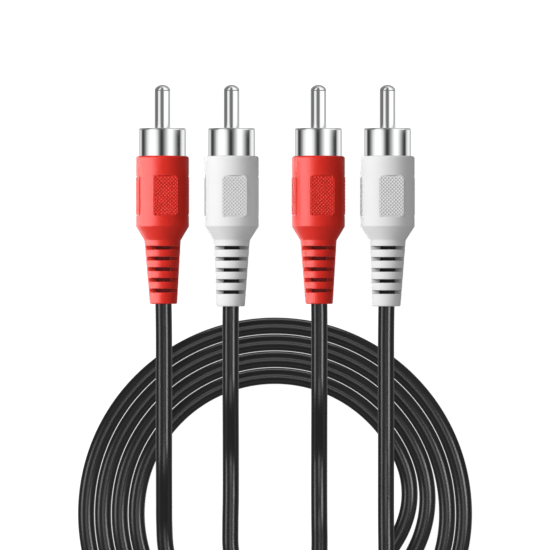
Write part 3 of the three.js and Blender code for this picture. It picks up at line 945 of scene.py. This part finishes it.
def area_lamp(name, angles, distance, sizes, radiance):
    """A lamp of two sizes that faces the cable. It stands at an angle from overhead to the right,
    then turned towards the pins, both in degrees. Its power gives it that radiance."""
    data = bpy.data.lights.new(name, "AREA")
    data.shape = "RECTANGLE"
    data.size, data.size_y = sizes
    data.energy = math.pi * sizes[0] * sizes[1] * radiance
    sideways, forwards = np.radians(angles)
    away = np.array([math.sin(sideways) * math.cos(forwards), math.sin(forwards),
                     math.cos(sideways) * math.cos(forwards)])
    lamp = bpy.data.objects.new(name, data)
    lamp.rotation_euler = (math.asin(-away[1]), math.atan2(away[0], away[2]), 0)
    lamp.location = np.array(LAMPS_FACE) + away * distance
    lamp.visible_camera = False
    bpy.context.scene.collection.objects.link(lamp)
    return lamp


def only_for(lamp, group, shades):
    """Lets a lamp light one group of pieces alone, with only another group in its way."""
    lamp.light_linking.receiver_collection = lit_group(group)
    lamp.light_linking.blocker_collection = lit_group(shades)


def lit_group(name):
    """A named collection of pieces that lamps may be kept for."""
    return bpy.data.collections.get(name) or bpy.data.collections.new(name)


# How bright the room is that the metal mirrors, as pairs of an angle in degrees and a level
ROUND_THE_SHELLS = [
    (-180, 0.6), (-152, 0.6), (-140, 0.8), (-130, 0.85), (-121, 0.2), (-112, 0.045),
    (-101, 0.09), (-87, 0.43), (-79, 0.82), (-63, 1.2), (-36, 1.2), (-25, 0.92), (-14, 0.27),
    (-6, 0.045), (0, 0.045), (7, 0.17), (20, 0.62), (30, 1.05), (37, 1.25), (47, 1.25),
    (57, 0.92), (68, 0.48), (80, 0.14), (89, 0.045), (96, 0.06), (110, 0.78), (122, 1.06),
    (134, 1.04), (144, 0.75), (150, 0.4), (160, 0.5), (180, 0.6),
]
ROUND_THE_PINS = [
    (-180, 0.6), (-150, 0.5), (-125, 0.3), (-108, 0.2), (-74, 0.16), (-66, 0.6), (-59, 1.0),
    (-46, 1.1), (-38, 0.95), (-28, 0.5), (-18, 0.2), (-1, 0.19), (13, 0.26), (24, 0.8),
    (30, 1.25), (86, 1.25), (93, 0.8), (100, 0.55), (128, 0.48), (150, 0.6), (180, 0.8),
]
IN_FRONT = [(0, 1.25), (112, 1.1), (124, 0.3), (150, 0.25), (180, 0.5)]
DOME_BASE = [(0, 1.25), (5, 1.25), (8, 0.2), (18, 0.2), (25, 1.25), (90, 1.25)]
BEHIND = [(0, 0.3), (64, 0.3), (73, 2.5), (82, 2.5), (92, 0.3), (150, 0.4), (180, 0.8)]
# Where one table gives way to the next, as how far a mirrored direction leans out of the plane
PINS_RANGE, DOMES_RANGE, BEHIND_RANGE = (0.0337, 0.0342), (0.07, 0.14), (0.08, 0.16)


def brightness_by_angle(tree, angle, table, low, high):
    """A colour ramp as a curve: the brightness at each of a table's angles, in degrees, within
    a range of angles. The input is the angle in radians."""
    peak = max(level for degrees, level in table)
    span = math.radians(high - low)
    place = maths(tree, "MULTIPLY_ADD", angle, 1 / span, -math.radians(low) / span)
    node = tree.nodes.new("ShaderNodeValToRGB")
    stops = node.color_ramp.elements
    for number, (degrees, level) in enumerate(table):
        at = (degrees - low) / (high - low)
        stop = stops[number] if number < 2 else stops.new(at)
        stop.position = at
        stop.color = [level / peak] * 3 + [1]
    link(tree, place, node.inputs["Fac"])
    return maths(tree, "MULTIPLY", node.outputs["Color"], peak)


def world_light(stage):
    """White for the camera, an even level for soft surfaces, and for mirror-like ones a room of
    panels. Near the upright plane across the plugs it is a table by the angle atan2(x, z) from
    overhead, with other panels a little further forward, where the pins' sides look. Behind that
    plane it is a table by the angle from overhead alone. In front of it the pins' domes look at
    the pins' panels, darkened by another such table and by one for the angle from that plane."""
    world = bpy.data.worlds.new("room")
    bpy.context.scene.world = world
    world.use_nodes = True
    world.cycles.sampling_method = "NONE"
    tree = world.node_tree
    background = tree.nodes["Background"]
    background.inputs["Color"].default_value = (1, 1, 1, 1)
    way = tree.nodes.new("ShaderNodeTexCoord").outputs["Generated"]
    apart = tree.nodes.new("ShaderNodeSeparateXYZ")
    link(tree, way, apart.inputs[0])
    tilt = maths(tree, "ARCTAN2", apart.outputs["X"], apart.outputs["Z"])
    shells = brightness_by_angle(tree, tilt, ROUND_THE_SHELLS, -180, 180)
    pins = brightness_by_angle(tree, tilt, ROUND_THE_PINS, -180, 180)
    from_overhead = maths(tree, "ARCCOSINE", apart.outputs["Z"])
    behind = brightness_by_angle(tree, from_overhead, BEHIND, 0, 180)
    rising = maths(tree, "ARCSINE", apart.outputs["Y"])
    dome = maths(tree, "MINIMUM", brightness_by_angle(tree, from_overhead, IN_FRONT, 0, 180),
                 brightness_by_angle(tree, rising, DOME_BASE, 0, 90))
    in_front = maths(tree, "MINIMUM", pins, dome)

    forward = apart.outputs["Y"]
    backward = maths(tree, "MULTIPLY", forward, -1.0)
    room = blend(tree, shells, pins, step(tree, forward, *PINS_RANGE))
    room = blend(tree, room, in_front, step(tree, forward, *DOMES_RANGE))
    room = blend(tree, room, behind, step(tree, backward, *BEHIND_RANGE))

    path = tree.nodes.new("ShaderNodeLightPath")
    glossy = maths(tree, "SUBTRACT", room, stage.ambient)
    seen = maths(tree, "MULTIPLY_ADD", glossy, path.outputs["Is Glossy Ray"], stage.ambient)
    to_white = maths(tree, "SUBTRACT", 1.0, seen)
    strength = maths(tree, "MULTIPLY_ADD", to_white, path.outputs["Is Camera Ray"], seen)
    link(tree, strength, background.inputs["Strength"])


def floor_material(stage):
    """A surface that glows white for the camera and through clear pieces, and keeps shadows."""
    material = bpy.data.materials.new("white_surface")
    material.use_nodes = True
    tree = material.node_tree
    shader = tree.nodes["Principled BSDF"]
    shader.inputs["Base Color"].default_value = (0.2, 0.2, 0.2, 1)
    shader.inputs["Roughness"].default_value = 1.0
    shader.inputs["Specular IOR Level"].default_value = 0.0
    shader.inputs["Emission Color"].default_value = (1, 1, 1, 1)
    path = tree.nodes.new("ShaderNodeLightPath")
    shows = maths(tree, "MAXIMUM", path.outputs["Is Camera Ray"],
                  path.outputs["Is Transmission Ray"])
    glow = maths(tree, "MULTIPLY", shows, stage.floor_glow)
    link(tree, glow, shader.inputs["Emission Strength"])
    return material


# Operators


class CABLE_OT_stage(bpy.types.Operator):
    """Sets up the camera, the white surface, the lamps and the room that metal mirrors"""

    bl_idname = "cable.stage"
    bl_label = "Set the stage"

    def execute(self, context):
        stage = context.scene.cable_stage
        data = bpy.data.cameras.new("picture")
        data.sensor_width = 36.0
        data.lens = data.sensor_width * (stage.camera_height - AXIS_HEIGHT) / stage.picture_width
        data.clip_start = 0.01
        camera = bpy.data.objects.new("picture", data)
        camera.location = (0, stage.camera_along, stage.camera_height)
        context.scene.collection.objects.link(camera)
        context.scene.camera = camera
        context.scene.view_settings.view_transform = "Standard"

        reach = 1.5
        mesh = bpy.data.meshes.new("surface")
        corners = [(-reach, -reach, 0), (reach, -reach, 0), (reach, reach, 0), (-reach, reach, 0)]
        mesh.from_pydata(corners, [], [(0, 1, 2, 3)])
        surface = bpy.data.objects.new("surface", mesh)
        mesh.materials.append(floor_material(stage))
        surface.visible_glossy = False
        context.scene.collection.objects.link(surface)

        world_light(stage)
        key = area_lamp("key", (-54, 18), distance=0.62, sizes=(0.3, 0.3),
                        radiance=stage.key_radiance)
        key.visible_glossy = False
        for slot, angle, width, level in GLOSS_LAMPS:
            gloss = area_lamp("gloss", (angle, 0), distance=0.6, sizes=(width, 0.6),
                              radiance=stage.gloss_radiance * level)
            gloss.visible_diffuse = False
            only_for(gloss, slot, slot)
        for name, (angles, sizes, radiance) in STREAK_LAMPS.items():
            streak = area_lamp(name, angles, distance=0.5, sizes=sizes,
                               radiance=getattr(stage, radiance))
            only_for(streak, "leads", "housings")
        return {"FINISHED"}


class CABLE_OT_leads(bpy.types.Operator):
    """Lays the two leads from plug to plug through their flat coil"""

    bl_idname = "cable.leads"
    bl_label = "Lay the leads"

    def execute(self, context):
        lead = context.scene.cable_lead
        outer_lane = lead.inner_lane + 3 * lead.lane_pitch

        red_route = route(("red_a", "red_b"), RED_RUN_IN, outer_lane, RED_LAST_ANGLE,
                          RED_RUN_OUT, lead)
        red, red_length = lead_curve("red_channel_lead", red_route, lead,
                                     material_for("black_pvc", "_red"))
        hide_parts("red_a_lead_run", "red_b_lead_run", "lead_coil")

        white_lane = outer_lane - lead.lane_pitch
        white_route = route(("white_a", "white_b"), WHITE_RUN_IN, white_lane, WHITE_LAST_ANGLE,
                            WHITE_RUN_OUT, lead)
        white, white_length = lead_curve("white_channel_lead", white_route, lead,
                                         material_for("black_pvc", "_white"))
        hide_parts("white_a_lead_run", "white_b_lead_run")
        return {"FINISHED"}


class CABLE_OT_housings(bpy.types.Operator):
    """Moulds the four housings with their knurled pads and slotted strain reliefs"""

    bl_idname = "cable.housings"
    bl_label = "Mould the housings"

    def execute(self, context):
        for plug, slot in PLUGS.items():
            x = plug_x(plug)
            housing, pad = mould(context.scene, slot == "white_pvc")
            sideways = EXITS[plug] * MM - housing.exit_lean - x
            parts = [lean(part, housing, sideways) for part in
                     [front_shell_of_housing(housing, pad, x)] + strain_relief(housing, x)]
            made = piece(f"{plug}_moulding", parts, material_for(slot))
            lit_group(slot).objects.link(made)
            lit_group("housings").objects.link(made)
            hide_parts(f"{plug}_housing")
        return {"FINISHED"}


class CABLE_OT_contacts(bpy.types.Operator):
    """Turns the metal shells, the centre pins and the insulators"""

    bl_idname = "cable.contacts"
    bl_label = "Turn the contacts"

    def execute(self, context):
        contact = context.scene.cable_contact
        makers = {
            "ground_shell": (shell_parts, "nickel_plate"),
            "centre_pin": (pin_parts, "nickel_plate"),
            "insulator": (insulator_parts, "nylon"),
        }
        for plug in PLUGS:
            for node, (maker, slot) in makers.items():
                parts = maker(contact, plug_x(plug))
                made = piece(f"{plug}_bright_{node}", parts, material_for(slot))
                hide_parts(f"{plug}_{node}")
        return {"FINISHED"}


class CABLE_OT_inner_pieces(bpy.types.Operator):
    """Gives the inner mould and the wires, which stay as the model has them, their finishes"""

    bl_idname = "cable.inner_pieces"
    bl_label = "Finish the inner pieces"

    def execute(self, context):
        slots = {
            "inner_mould": "polyethylene",
            "core_insulation": "polyethylene",
            "conductor": "copper",
            "shield_pigtail": "tinned_copper",
        }
        for plug in PLUGS:
            for node, slot in slots.items():
                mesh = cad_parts[f"{plug}_{node}"].data
                mesh.materials.clear()
                mesh.materials.append(material_for(slot))
        return {"FINISHED"}


class CABLE_PT_panel(bpy.types.Panel):
    """Lists the steps that build the cable, and the sizes and colours that they use"""

    bl_idname = "CABLE_PT_panel"
    bl_label = "Phono cable"
    bl_space_type = "VIEW_3D"
    bl_region_type = "UI"
    bl_category = "Phono cable"

    def draw(self, context):
        for operator in OPERATORS:
            self.layout.operator(operator.bl_idname)
        for name, group in SETTINGS.items():
            box = self.layout.box()
            box.label(text=group.__name__)
            for key in group.__annotations__:
                box.prop(getattr(context.scene, name), key)


SETTINGS = {
    "cable_housing": HousingSizes,
    "cable_white": WhiteChanges,
    "cable_pad": PadSizes,
    "cable_contact": ContactSizes,
    "cable_lead": LeadSizes,
    "cable_finishes": Finishes,
    "cable_stage": StageSizes,
}
OPERATORS = [
    CABLE_OT_stage, CABLE_OT_leads, CABLE_OT_housings, CABLE_OT_contacts, CABLE_OT_inner_pieces,
]


def register():
    """Makes the settings, the steps and the panel known to Blender."""
    for group in SETTINGS.values():
        bpy.utils.register_class(group)
    for name, group in SETTINGS.items():
        setattr(bpy.types.Scene, name, PointerProperty(type=group))
    for operator in OPERATORS:
        bpy.utils.register_class(operator)
    bpy.utils.register_class(CABLE_PT_panel)


def unregister():
    """Takes them away again."""
    bpy.utils.unregister_class(CABLE_PT_panel)
    for operator in reversed(OPERATORS):
        bpy.utils.unregister_class(operator)
    for name in SETTINGS:
        delattr(bpy.types.Scene, name)
    for group in SETTINGS.values():
        bpy.utils.unregister_class(group)


def main():
    register()
    bpy.ops.cable.stage()
    bpy.ops.cable.leads()
    bpy.ops.cable.housings()
    bpy.ops.cable.contacts()
    bpy.ops.cable.inner_pieces()


if __name__ == "__main__":
    main()
